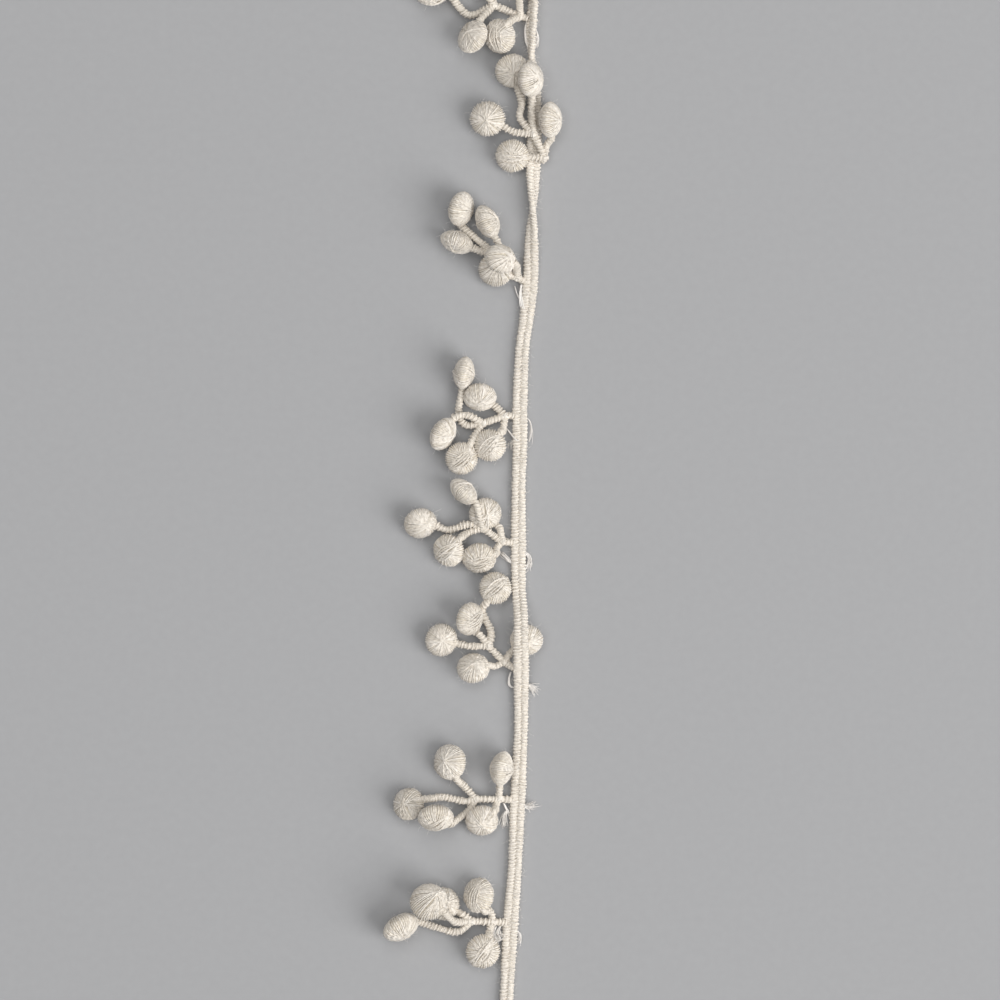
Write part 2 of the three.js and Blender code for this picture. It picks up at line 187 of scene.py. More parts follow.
# Sprays from the top: where each one leaves the heading, and from there its fork, crown and berries as
# [out, up, high]. A berry's face leans that far from level towards a way in the picture plane, and its stem
# passes the via places. One with a bar has its last stitches side by side at that angle, and one with a pull
# has its stitches cross that far to the right and up from its middle.
SPRAYS = [
    dict(
        along=120.5,
        edge=-1,
        fork=[2.9, 0.5, 1.8],
        crown=[9.4, 3.2, 2.6],
        near=[
            dict(at=[3.5, 8.6], lean=20, toward=90, rise=0, via=[]),
            dict(at=[8.0, -4.6], lean=32, toward=200, rise=0, size=1.06, bar=95, via=[]),
        ],
        far=[
            dict(at=[14.4, 10.4], lean=25, toward=120, rise=0, via=[]),
            dict(at=[24.7, 5.8], lean=76, toward=280, rise=0, via=[[15.8, 0.8, 2.2]]),
            dict(at=[14.8, -4.8], lean=46, toward=150, rise=0.9, size=1.05, via=[[12.0, 0.6, 3.4]]),
        ],
    ),
    dict(
        along=85.5,
        edge=1,
        fork=[-2.7, 0, 2.6],
        crown=[0, 6.0, 3.6],
        near=[
            dict(at=[-4.2, 9.4], lean=70, toward=0, rise=0, size=1.08, via=[[-3.2, 3.0, 2.4]]),
            dict(at=[5.3, 0.5], lean=14, toward=265, rise=0, size=1.03, bar=0, via=[[0.4, 0.2, 3.2]]),
        ],
        far=[
            dict(at=[11.5, 9.8], lean=8, toward=250, rise=0, size=1.08, via=[[4.6, 6.4, 3.2]]),
            dict(at=[5.3, 21.8], lean=20, toward=290, rise=0, size=1.06,
                 via=[[3.4, 10, 2.8], [2.9, 13.8, 2.8]]),
            dict(at=[0.7, 19.4], lean=57, toward=0, rise=1.9, size=1.06, via=[[0.4, 11.5, 4.4]]),
        ],
    ),
    dict(
        along=54.7,
        edge=-1,
        fork=[3.2, 1.0, 1.8],
        crown=[8.2, 6.4, 4.2],
        near=[
            dict(at=[7.4, 5.4], lean=30, toward=55, rise=4.7, size=0.95, pull=[1.8, 0], via=[]),
            dict(at=[8.6, 2.9], lean=18, toward=265, rise=0, size=1.08, pull=[0.6, 2.0], via=[]),
        ],
        far=[
            dict(at=[10.8, 14.8], lean=80, toward=25, rise=0, size=1.06, via=[[8.0, 9.4, 4.0]]),
            dict(at=[17.3, 18.0], lean=60, toward=345, rise=0, size=1.07, via=[[12.9, 10.0, 3.6]]),
            dict(at=[18.4, 9.7], lean=80, toward=250, rise=0, size=1.04, via=[[12.0, 7.3, 4.0]]),
        ],
    ),
    dict(
        along=21.2,
        edge=-1,
        fork=[3.7, -0.2, 1.8],
        crown=[9.2, -2.0, 2.4],
        near=[
            dict(at=[10.0, 4.5], lean=40, toward=270, rise=0, via=[]),
            dict(at=[7.5, -7.5], lean=11, toward=225, rise=0, bar=52, via=[[4.3, -3.6, 2.0]]),
        ],
        far=[
            dict(at=[14.0, 10.5], lean=86, toward=352, rise=0, via=[[13.4, -2.5, 1.6], [15.3, 0.4, 1.6]]),
            dict(at=[19.2, -4.7], lean=64, toward=330, rise=0, size=1.05,
                 via=[[13.2, 0, 3.6], [16, -0.4, 3.6]]),
            dict(at=[14.6, -10.8], lean=12, toward=310, rise=0.3, bar=45, via=[[11.3, -5.2, 2.6]]),
        ],
    ),
    dict(
        along=-10.5,
        edge=-1,
        fork=[4.0, 0.2, 1.8],
        crown=[9.0, 3.5, 2.4],
        near=[
            dict(at=[8.3, 7.1], lean=18, toward=300, rise=0, via=[[4.6, 3.2, 2.2]]),
            dict(at=[9.8, -4.0], lean=32, toward=270, rise=0, size=1.03, bar=22, via=[[5.6, -1.8, 2.0]]),
        ],
        far=[
            dict(at=[13.7, 12.6], lean=84, toward=48, rise=0.8, size=0.98, via=[[9.9, 7.2, 5.9]]),
            dict(at=[24.5, 4.7], lean=28, toward=290, rise=0, pull=[1.2, 0.2],
                 via=[[12.2, 4.5, 2.6], [17.3, 3.0, 2.2]]),
            dict(at=[17.4, -2.1], lean=24, toward=205, rise=0, bar=38, via=[[12.8, 2.2, 2.4]]),
        ],
    ),
    dict(
        along=-42.5,
        edge=-1,
        fork=[4.2, 2.0, 1.9],
        crown=[8.2, 6.0, 2.4],
        near=[
            dict(at=[-1.3, 7.5], lean=22, toward=270, rise=0, via=[[2.9, 4.1, 1.8]]),
            dict(at=[12.0, 0.5], lean=30, toward=95, rise=0, via=[[6.6, 0.9, 1.9]]),
        ],
        far=[
            dict(at=[6.5, 20.5], lean=10, toward=45, rise=0, bar=45,
                 via=[[7.6, 9.6, 1.8], [9.9, 14.8, 1.6]]),
            dict(at=[12.9, 12.8], lean=44, toward=345, rise=0.9, bar=30, via=[[10.2, 8.6, 2.8]]),
            dict(at=[20.0, 7.5], lean=12, toward=340, rise=0, via=[[13.0, 6.0, 2.4]]),
        ],
    ),
    dict(
        along=-75,
        edge=-1,
        fork=[4.7, 0.2, 1.8],
        crown=[10.5, 0.2, 2.4],
        near=[
            dict(at=[4.0, 7.95], lean=80, toward=350, rise=0, size=1.06, via=[]),
            dict(at=[9.0, -5.1], lean=24, toward=275, rise=0, via=[[5.6, -1.6, 2.0]]),
        ],
        far=[
            dict(at=[17.0, 9.5], lean=28, toward=175, rise=0, size=1.08, via=[[13.0, 3.0, 2.4]]),
            dict(at=[27.3, -1.0], lean=26, toward=155, rise=0,
                 via=[[13.2, -0.3, 2.7], [18.9, 0.8, 2.8], [21.2, 0.4, 2.8]]),
            dict(at=[20.5, -4.2], lean=53, toward=272, rise=3.2, size=1.08, bar=58,
                 via=[[12.4, -2.8, 2.4], [15.2, -4.8, 2.6]]),
        ],
    ),
    dict(
        along=-105.7,
        edge=-1,
        fork=[4.5, 0.2, 1.8],
        crown=[9.7, 0.4, 2.4],
        near=[
            dict(at=[8.0, 6.95], lean=34, toward=170, rise=0, size=1.06, bar=75, via=[[5.1, 3.0, 2.2]]),
            dict(at=[6.95, -7.1], lean=12, toward=320, rise=0, size=1.06, bar=60, via=[[5.5, -2.6, 2.2]]),
        ],
        far=[
            dict(at=[16.7, 4.8], lean=20, toward=20, rise=0, via=[[12.2, 2.2, 2.6]]),
            dict(at=[20.5, 5.5], lean=18, toward=110, rise=4.3, size=1.14, pull=[2.3, 1.5],
                 via=[[14.0, 0.4, 4.6]]),
            dict(at=[27.4, -1], lean=66, toward=300, rise=0, size=1.14,
                 via=[[13.3, -2.3, 2.4], [19, -1, 2.4]]),
        ],
    ),
]

# Loose thread ends where the machine cut at each root: their way is given from the root, as the forks are.
# The splay is how far the strands part towards their tips.
TAILS = [
    dict(spray=0, strands=3, wide=0.42, splay=0.2,
         way=[[1.2, -0.6, 1.2], [1.6, -2.8, 1.2], [1.4, -5.4, 1.4], [0.6, -7.6, 1.6]]),
    dict(spray=0, strands=16, wide=0.18, splay=0.3,
         way=[[-0.9, -2.6, 1.4], [-1.5, -4.6, 1.2], [-1.2, -7.0, 1.0]]),
    dict(spray=2, strands=3, wide=0.3, splay=0.2,
         way=[[3.9, -1.2, 0.8], [3.3, -3.1, 0.8], [2.5, -4.4, 1.0], [1.9, -6.0, 1.6]]),
    dict(spray=2, strands=4, wide=0.36, splay=0.2,
         way=[[2.2, -0.8, 1.4], [2.4, -3.4, 1.3], [2.0, -6.4, 1.6]]),
    dict(spray=3, strands=3, wide=0.36, splay=0.15,
         way=[[3.3, -3.4, 0.9], [2.3, -4.7, 1.2], [1.4, -5.9, 1.9], [0.6, -6.5, 2.0]]),
    dict(spray=3, strands=12, wide=0.12, splay=0.45,
         way=[[1.6, -6.4, 1.2], [2.4, -7.4, 0.7], [2.2, -8.4, 0.6]]),
    dict(spray=3, strands=9, wide=0.13, splay=0.25,
         way=[[-1.7, -0.6, 1.2], [-2.5, -1.8, 1.0], [-2.8, -4.0, 0.9], [-2.3, -6.6, 0.9]]),
    dict(spray=4, strands=16, wide=0.14, splay=0.35,
         way=[[1.7, -5.2, 1.2], [2.3, -4.8, 1.2], [3.1, -3.8, 1.0], [4.4, -2.8, 0.8]]),
    dict(spray=4, strands=22, wide=0.13, splay=0.4,
         way=[[-1.7, -2.6, 1.3], [-2.6, -3.6, 1.1], [-2.6, -5.2, 0.9], [-2.0, -6.6, 0.9]]),
    dict(spray=5, strands=3, wide=0.26, splay=0.2,
         way=[[2.6, -0.6, 1.0], [3.1, -2.2, 0.8], [3.0, -4.2, 0.8], [1.8, -4.7, 1.2]]),
    dict(spray=5, strands=34, wide=0.13, splay=0.55,
         way=[[-1.5, -3.8, 1.5], [-2.5, -4.2, 1.3], [-3.4, -5.2, 1.0]]),
    dict(spray=6, strands=3, wide=0.34, splay=0.15,
         way=[[3.6, -0.9, 1.2], [3.0, -2.2, 1.0], [2.2, -3.9, 1.0]]),
    dict(spray=6, strands=34, wide=0.13, splay=0.45,
         way=[[2.8, -2.8, 1.0], [3.4, -4.2, 0.8], [3.5, -6.4, 0.7]]),
    dict(spray=6, strands=34, wide=0.13, splay=0.5,
         way=[[-1.6, -1.6, 1.4], [-2.6, -1.6, 1.3], [-3.9, -1.3, 1.0]]),
    dict(spray=7, strands=14, wide=0.16, splay=0.5,
         way=[[3.6, -1.0, 1.2], [4.2, -2.6, 1.2], [3.3, -4.4, 1.3], [2.1, -3.5, 1.4]]),
    dict(spray=7, strands=12, wide=0.16, splay=0.5,
         way=[[2.6, -0.9, 1.2], [3.2, -2.4, 1.3], [2.4, -4.0, 1.2]]),
    dict(spray=7, strands=14, wide=0.12, splay=0.35,
         way=[[-1.6, -2.0, 1.3], [-2.4, -3.4, 1.0], [-2.0, -5.2, 0.9]]),
]


# Routes
def unit(vectors):
    return vectors / np.linalg.norm(vectors, axis=-1, keepdims=True)


def smooth_route(places, count):
    """Points on the smooth curve that the part's source draws through the same places."""
    places = np.asarray(places, float)
    run = np.vstack([2 * places[0] - places[1], places, 2 * places[-1] - places[-2]])
    at = np.linspace(0, len(places) - 1, count)
    span = np.minimum(at.astype(int), len(places) - 2)
    share = (at - span)[:, None]
    before, start, end, after = (run[span + i] for i in range(4))
    bend = 2 * before - 5 * start + 4 * end - after
    twist = 3 * start - before - 3 * end + after
    return start + 0.5 * ((end - before) * share + bend * share**2 + twist * share**3)


def run_length(places):
    steps = np.linalg.norm(np.diff(places[..., :3], axis=-2), axis=-1)
    return np.concatenate([np.zeros_like(steps[..., :1]), np.cumsum(steps, axis=-1)], axis=-1)


def even_route(places, step):
    """The smooth curve through the places, in even steps of its length."""
    dense = smooth_route(places, CURVE_POINTS * len(places))
    length = run_length(dense)
    at = np.linspace(0, length[-1], max(4, round(length[-1] / step) + 1))
    return np.column_stack([np.interp(at, length, column) for column in dense.T])


def axes_across(along):
    across = unit(np.cross(along, UP))
    return across, np.cross(across, along)


# Threads
def thread_rounds(middles, outward, wide, high, closed, sides):
    """The points round each thread, (thread, point, side, 3)."""
    if closed:
        ahead = np.roll(middles, -1, axis=1) - np.roll(middles, 1, axis=1)
    else:
        ahead = np.gradient(middles, axis=1)
    along = unit(ahead)
    aside = unit(np.cross(along, outward))
    proud = np.cross(aside, along)
    turn = 2 * np.pi * np.arange(sides) / sides
    wide = np.broadcast_to(np.asarray(wide, float), middles.shape[:2])[:, :, None, None] / 2
    high = np.broadcast_to(np.asarray(high, float), middles.shape[:2])[:, :, None, None] / 2
    level = wide * aside[:, :, None] * np.cos(turn)[:, None]
    above = high * proud[:, :, None] * np.sin(turn)[:, None]
    return middles[:, :, None] + (level + above)


def threads(middles, outward, wide, high, shade, closed=False, sides=5):
    """Many threads of one kind: middles and outward are (thread, point, 3), and each thread has a shade.
    A closed thread is a ring, and an open one has a cap at each end."""
    count, points = middles.shape[:2]
    places = thread_rounds(middles, outward, wide, high, closed, sides)
    step = np.arange(points if closed else points - 1)
    side = np.arange(sides)
    corner_step = np.stack([step, step + 1, step + 1, step], axis=-1)[:, None]
    corner_side = np.stack([side, side, side + 1, side + 1], axis=-1)[None]
    index = (corner_step % points) * sides + corner_side % sides
    starts = np.arange(count) * points * sides
    quads = (starts[:, None, None, None] + index).reshape(-1, 4)

    loop = np.concatenate([middles, middles[:, :1]], axis=1)
    length = run_length(loop) + chance.uniform(0, 10, (count, 1))
    steps = np.broadcast_to(corner_step, index.shape)
    around = np.broadcast_to(corner_side / sides, (count, *index.shape))
    uv = np.stack([length[:, steps], around], axis=-1)

    corners, sizes, uvs = [quads.ravel()], [np.full(len(quads), 4)], [uv.reshape(-1, 2)]
    if not closed:
        first = starts[:, None] + side
        last = starts[:, None] + (points - 1) * sides + side[::-1]
        caps = np.concatenate([first, last])
        corners.append(caps.ravel())
        sizes.append(np.full(len(caps), sides))
        uvs.append(np.zeros((caps.size, 2)))
    return dict(
        points=places.reshape(-1, 3),
        shade=np.repeat(np.broadcast_to(shade, count), points * sides),
        corners=np.concatenate(corners),
        sizes=np.concatenate(sizes),
        uv=np.concatenate(uvs),
    )


def one_thread(middles, outward, wide, high, shade, **form):
    return threads(middles[None], outward[None], wide, high, shade, **form)


def shades(count, middle=0.55, spread=0.25):
    return np.clip(chance.normal(middle, spread, count), 0, 1)


def uneven(length, amount, reach):
    """An unevenness along a length, such as handwork has: it changes by chance about every reach of it."""
    knots = np.arange(0, length[-1] + 2 * reach, reach)
    return np.interp(length, knots, chance.normal(0, amount, len(knots)))


def thread_piece(name, batches, material):
    """One mesh piece of all the batches of threads."""
    offsets = np.cumsum([0] + [len(batch["points"]) for batch in batches])
    points = np.concatenate([batch["points"] for batch in batches]) * MM
    corners = np.concatenate([batch["corners"] + offset for batch, offset in zip(batches, offsets)])
    sizes = np.concatenate([batch["sizes"] for batch in batches])
    mesh = bpy.data.meshes.new(name)
    mesh.vertices.add(len(points))
    mesh.vertices.foreach_set("co", points.ravel())
    mesh.loops.add(len(corners))
    mesh.loops.foreach_set("vertex_index", corners)
    mesh.polygons.add(len(sizes))
    mesh.polygons.foreach_set("loop_start", np.cumsum(sizes) - sizes)
    mesh.update(calc_edges=True)
    shade = mesh.attributes.new("shade", "FLOAT", "POINT")
    shade.data.foreach_set("value", np.concatenate([batch["shade"] for batch in batches]))
    uv = mesh.uv_layers.new(name="thread")
    uv.data.foreach_set("uv", np.concatenate([batch["uv"] for batch in batches]).ravel())
    mesh.polygons.foreach_set("use_smooth", np.ones(len(sizes), dtype=bool))
    mesh.validate()
    piece = bpy.data.objects.new(name, mesh)
    bpy.context.collection.objects.link(piece)
    finished(piece, material)


def finished(piece, material):
    """Gives a piece its material and has it stand for the trim's solid."""
    piece.data.materials.clear()
    piece.data.materials.append(material)
    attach(piece, "root")
    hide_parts("berry_trim")


def wraps(middles, across, up, half_wide, half_high, pitch, thread, shade, hand=1, square=1.0):
    """Two threads wound side by side round a core, from the core's middles and axes, the half width and
    height of the whole, and the wraps' pitch. One of the two lies a little deeper and is painted darker, as
    painted shade."""
    length = run_length(middles)
    drift = length / pitch + uneven(length, WRAP_DRIFT, 2 * pitch)
    batches = []
    for start, depth in WRAP_STARTS:
        angle = hand * 2 * np.pi * (drift + start)
        cos, sin = np.cos(angle)[:, None], np.sin(angle)[:, None]
        loose = uneven(length, WRAP_LOOSE, pitch / 2)[:, None] - thread / 2 - depth
        reach_across = np.broadcast_to(half_wide, len(middles))[:, None] + loose
        reach_up = half_high + loose
        ring = across * np.sign(cos) * np.abs(cos) ** square * reach_across
        ring += up * np.sign(sin) * np.abs(sin) ** square * reach_up
        outward = unit(across * cos / reach_across + up * sin / reach_up)
        places = middles + ring
        places[:, 2] = np.maximum(places[:, 2], thread / 2)
        batches.append(one_thread(places, outward, pitch * WRAP_WIDTH, thread, shade - DEPTH_PAINTED_SHADE * depth))
    return batches


# Heading: two cords side by side, each wound with thread
def heading_stations(step):
    """The heading's middles and axes in even steps, and its width, which narrows between the roots."""
    lay = [[row["side"], row["along"], row["lift"], row["turn"]] for row in reversed(HEADING_LAY)]
    route = even_route(lay, step)
    flat = route[:, :3] * [1, 1, 0]
    across, up = axes_across(unit(np.gradient(flat, axis=0)))
    roll = np.radians(route[:, 3:])
    cos, sin = np.cos(roll), np.sin(roll)
    roots = np.array([spray["along"] for spray in SPRAYS])
    off = np.clip(np.abs(route[:, 1:2] - roots).min(axis=1) / (REPEAT / 2), 0, 1)
    width = 1 - HEADING_WAIST * off**2 * (3 - 2 * off)
    lean = np.abs(sin[:, 0])
    reach = np.hypot(CORD_DIAMETER / 2 * width * lean, HEADING_HALF_HEIGHT * cos[:, 0])
    depth = CORD_SPACING / 2 * width * lean + reach
    middle = np.column_stack([route[:, :2], np.maximum(route[:, 2], 0) + depth])
    return dict(middle=middle, across=across * cos + up * sin, up=up * cos - across * sin, width=width)


def root_of(heading, spray):
    """The middle of the heading where a spray leaves it."""
    nearest = np.abs(heading["middle"][:, 1] - spray["along"]).argmin()
    return heading["middle"][nearest]


def heading_cord(heading, side):
    """The core and the wound thread of one of the two cords."""
    width = heading["width"]
    middles = heading["middle"] + heading["across"] * (side * (CORD_SPACING - CORD_LAP) / 2 * width)[:, None]
    half = (CORD_DIAMETER + CORD_LAP) / 2 * width
    sparse = slice(None, None, HEADING_CORE_EVERY)
    core = one_thread(middles[sparse], heading["up"][sparse], 2 * half[sparse] - HEADING_THREAD,
                      2 * HEADING_HALF_HEIGHT - HEADING_THREAD, CORE_PAINTED_SHADE, sides=10)
    wound = wraps(middles, heading["across"], heading["up"], half, HEADING_HALF_HEIGHT, HEADING_PITCH,
                  HEADING_THREAD, HEADING_SHADE, hand=side, square=HEADING_SQUARE)
    return core, wound


# Sprays
def place_from(root, spray, place):
    """A place given as [out, up, high] from a spray's root."""
    return np.array([root[0] - place[0], spray["along"] + place[1], place[2]])


def berry_pose(spray, root, row):
    """Where a berry lies and how it is turned: its lowest point rests on the floor or rises above it."""
    size = row.get("size", 1)
    radius, half = BERRY_DIAMETER / 2 * size, BERRY_THICKNESS / 2 * size
    lean, toward = math.radians(row["lean"]), math.radians(row["toward"])
    way = np.array([math.cos(toward), math.sin(toward), 0])
    share = np.linspace(0, 1, PROFILE_POINTS)
    thick = half * (1 - share**2) ** BERRY_FULLNESS
    rest = (share * radius * math.sin(lean) + thick * math.cos(lean)).max()
    face = way * math.sin(lean) + UP * math.cos(lean)
    pull = np.array([*row.get("pull", [0, 0]), 0])
    return dict(
        middle=place_from(root, spray, [*row["at"], rest + row["rise"]]),
        face=face,
        fall=way * math.cos(lean) - UP * math.sin(lean),
        radius=radius,
        half=half,
        bar=row.get("bar"),
        pull=pull - face * (pull @ face),
    )


def berry_stitches(pose):
    """Satin stitches round the berry's face and back, each turned on from the last. They cross near one
    place and lie more or less proud. Where the berry has a bar, the last few lie side by side."""
    face, fall = pose["face"], pose["fall"]
    side = np.cross(face, fall)
    count = STITCHES + BAR_STITCHES
    order = np.arange(count)
    step = chance.uniform(*STITCH_STEPS, count)
    aside = np.stack([uneven(order, **STITCH_DRIFT), uneven(order, **STITCH_DRIFT)])
    last = chance.uniform(0, np.pi)
    pile = PILE * (np.stack([order, order[::-1]]) / (count - 1) - PILE_LEVEL)
    if pose["bar"] is not None:
        bar = math.radians(pose["bar"])
        way = np.array([math.cos(bar), math.sin(bar), 0])
        last = math.atan2(way @ side, way @ fall)
        step[STITCHES:] *= BAR_STEP
        aside[:, STITCHES:] = BAR_SPACING * (np.arange(BAR_STITCHES) - (BAR_STITCHES - 1) / 2)
        pile[0, STITCHES:] += BAR_PILE
    aside += chance.normal(0, STITCH_WANDER, (2, count))
    angle = last + np.pi * np.cumsum(step) / step.sum()

    turn = 2 * np.pi * np.arange(STITCH_POINTS) / STITCH_POINTS
    cos, sin = np.cos(turn), np.sin(turn)
    back = (sin < 0).astype(int)
    radius = pose["radius"] - STITCH_HEIGHT / 2
    half = pose["half"] - STITCH_HEIGHT / 2 - STITCH_SINK
    reach = (radius + chance.normal(0, STITCH_REACH, count))[:, None]
    out = reach * cos
    off = aside[back].T * sin**2
    ahead = np.cos(angle)[:, None] * fall + np.sin(angle)[:, None] * side
    beside = np.cross(face, ahead)
    level = out[..., None] * ahead[:, None] + off[..., None] * beside[:, None]
    level += pose["pull"] * (sin**2 * (1 - back))[:, None]
    share = np.minimum(np.linalg.norm(level, axis=-1) / reach, 1)
    swell = np.exp(-((out / PILE_SPREAD) ** 2))
    proud = chance.normal(0, STITCH_PROUD, (2, count))
    high = np.sign(sin) * (1 - share**2) ** BERRY_FULLNESS * (half + pile[back].T * swell + proud[back].T)
    middles = pose["middle"] + level + high[..., None] * face
    middles[..., 2] = np.maximum(middles[..., 2], STITCH_HEIGHT / 2)
    outward = unit((half * cos)[:, None] * ahead[:, None] + (radius * sin)[:, None] * face)
    wide = STITCH_WIDTH * chance.uniform(*STITCH_WIDTH_RANGE, count)[:, None]
    return threads(middles, outward, wide, STITCH_HEIGHT, shades(count), closed=True)


def model_underlay():
    """The stitched filling of a full-size berry, level at the origin: a ball pressed flat."""
    bpy.ops.object.select_all(action="DESELECT")
    bpy.ops.mesh.primitive_uv_sphere_add(segments=20, ring_count=12, radius=BERRY_DIAMETER / 2 * MM)
    underlay = bpy.context.object
    bpy.ops.object.mode_set(mode="EDIT")
    bpy.ops.mesh.select_all(action="SELECT")
    flat = UNDERLAY_HEIGHT * BERRY_THICKNESS / BERRY_DIAMETER
    bpy.ops.transform.resize(value=(UNDERLAY_WIDTH, UNDERLAY_WIDTH, flat))
    bpy.ops.object.mode_set(mode="OBJECT")
    bpy.ops.object.shade_smooth()
    return underlay


def place_underlay(underlay, pose):
    """A copy of the filling with its own mesh, turned to the berry's face."""
    size = pose["radius"] * 2 / BERRY_DIAMETER
    axes = np.column_stack([pose["fall"], np.cross(pose["face"], pose["fall"]), pose["face"]]) * size
    turned = Matrix([[*row, place * MM] for row, place in zip(axes, pose["middle"])] + [[0, 0, 0, 1]])
    copy = underlay.copy()
    copy.data = underlay.data.copy()
    copy.data.transform(turned)
    bpy.context.collection.objects.link(copy)
    return copy


def underlay_piece(name, underlay, poses, material):
    """One piece of the fillings of a spray's berries."""
    copies = [place_underlay(underlay, pose) for pose in poses]
    bpy.ops.object.select_all(action="DESELECT")
    for copy in copies:
        copy.select_set(True)
    bpy.context.view_layer.objects.active = copies[0]
    bpy.ops.object.join()
    copies[0].name = name
    finished(copies[0], material)


def stem_threads(places):
    """The core and the wound thread of a stem along its smooth route."""
    radius = STEM_DIAMETER / 2
    middles = even_route(places, STEM_PITCH / STEM_POINTS)
    middles[:, 2] = np.maximum(middles[:, 2], radius)
    across, up = axes_across(unit(np.gradient(middles, axis=0)))
    sparse = slice(None, None, STEM_CORE_EVERY)
    thick = STEM_DIAMETER - STEM_THREAD
    core = one_thread(middles[sparse], up[sparse], thick, thick, CORE_PAINTED_SHADE, sides=8)
    swell = radius * (STEM_SWELL + uneven(run_length(middles), **STEM_UNEVEN))
    return [core, *wraps(middles, across, up, swell, radius, STEM_PITCH, STEM_THREAD, STEM_SHADE)]


def knot_threads(place):
    """A few thread rings round the place where stems meet."""
    turn = 2 * np.pi * np.arange(KNOT_POINTS) / KNOT_POINTS
    pole = unit(chance.normal(0, 1, (KNOT_RINGS, 3)) * KNOT_TILTS)
    first = unit(np.cross(pole, UP))
    second = np.cross(pole, first)
    outward = np.cos(turn)[:, None] * first[:, None] + np.sin(turn)[:, None] * second[:, None]
    reach = STEM_DIAMETER / 2 * chance.uniform(*KNOT_REACH, KNOT_RINGS)[:, None, None]
    aside = pole[:, None] * chance.normal(0, KNOT_SPREAD, KNOT_RINGS)[:, None, None]
    middles = place + outward * reach + aside
    middles[..., 2] = np.maximum(middles[..., 2], KNOT_LOWEST)
    return threads(middles, outward, KNOT_WIDTH, KNOT_HEIGHT, shades(KNOT_RINGS), closed=True)


def branch_places(start, spray, root, row, pose):
    """The way of a stem from its start past its bends to the berry's rim and on inside it."""
    passed = [start] + [place_from(root, spray, place) for place in row["via"]]
    inward = pose["middle"] - passed[-1]
    inward = unit(inward - pose["face"] * (inward @ pose["face"]))
    rim = pose["middle"] - inward * pose["radius"]
    inside = pose["middle"] - inward * pose["radius"] * (1 - STEM_BITE)
    return passed + [rim, inside]


def spray_parts(heading, spray):
    """The berries' poses and the stems' threads of one spray."""
    root = root_of(heading, spray)
    foot = root + [spray["edge"] * CORD_SPACING / 2, 0, 0]
    fork = place_from(root, spray, spray["fork"])
    crown = place_from(root, spray, spray["crown"])
    stems = stem_threads([foot, fork, crown]) + [knot_threads(fork), knot_threads(crown)]
    poses = []
    for start, rows in ((fork, spray["near"]), (crown, spray["far"])):
        for row in rows:
            pose = berry_pose(spray, root, row)
            stems += stem_threads(branch_places(start, spray, root, row, pose))
            poses.append(pose)
    return poses, stems


# Loose ends and fuzz
def tail_threads(heading, row):
    """The strands of one loose end along its way, curled a little and parting towards their tips."""
    spray = SPRAYS[row["spray"]]
    root = root_of(heading, spray)
    count, points = row["strands"], len(TAIL_TAPER)
    way = smooth_route([place_from(root, spray, place) for place in row["way"]], points)
    share = np.linspace(0, 1, points)[:, None]
    parting = TAIL_GATHER + (1 - TAIL_GATHER) * share
    apart = chance.normal(0, 1, (count, 1, 3)) * TAIL_SPREAD * parting * row["splay"]
    curl = np.cumsum(chance.normal(0, TAIL_CURL * row["splay"], (count, points, 3)), axis=1) * share
    middles = way + apart + curl
    middles[..., 2] = np.maximum(middles[..., 2], row["wide"])
    taper = row["wide"] * TAIL_TAPER
    outward = np.broadcast_to(UP, middles.shape)
    return threads(middles, outward, taper, taper, shades(count, TAIL_SHADE), sides=4)


def fuzz_threads(sources):
    """Fine curled fibres that stand off the threads, from places picked over their outsides."""
    places = np.concatenate([batch["points"] for batch in sources])
    start = places[chance.integers(0, len(places), FUZZ_FIBRES)][:, None]
    way = unit(chance.normal(0, 1, (FUZZ_FIBRES, 1, 3)) * FUZZ_SPREAD)
    bend = unit(chance.normal(0, 1, (FUZZ_FIBRES, 1, 3)))
    curl = unit(chance.normal(0, 1, (FUZZ_FIBRES, 1, 3)))
    length = chance.uniform(*FUZZ_LENGTHS, (FUZZ_FIBRES, 1, 1))
    share = np.linspace(0, 1, len(FUZZ_TAPER))[:, None]
    bent = bend * FUZZ_BEND * share**2
    curled = curl * FUZZ_CURL * np.sin(2 * np.pi * share)
    middles = start + length * (way * share + bent + curled)
    middles[..., 2] = np.maximum(middles[..., 2], FIBRE)
    taper = FIBRE * FUZZ_TAPER
    outward = np.broadcast_to(FUZZ_SLANT, middles.shape)
    return threads(middles, outward, taper, taper, FUZZ_SHADE, sides=3)


# Materials
def linear(hex_colour):
    """An sRGB hex value as a linear colour."""
    parts = [int(hex_colour[i:i + 2], 16) / 255 for i in (1, 3, 5)]
    return [p / 12.92 if p <= 0.04045 else ((p + 0.055) / 1.055) ** 2.4 for p in parts] + [1]


def add_node(tree, kind, settings=None, **links):
    """A node with its settings, and values or outputs for its sockets by name or by number, as n0."""
    node = tree.nodes.new(kind)
    for name, value in (settings or {}).items():
        setattr(node, name, value)
    for name, value in links.items():
        numbered = name[0] == "n" and name[1:].isdigit()
        socket = node.inputs[int(name[1:]) if numbered else name.replace("_", " ")]
        if isinstance(value, bpy.types.NodeSocket):
            tree.links.new(value, socket)
        else:
            socket.default_value = value
    return node


def new_material(name):
    material = bpy.data.materials.new(name)
    material.use_nodes = True
    return material, material.node_tree, material.node_tree.nodes["Principled BSDF"]


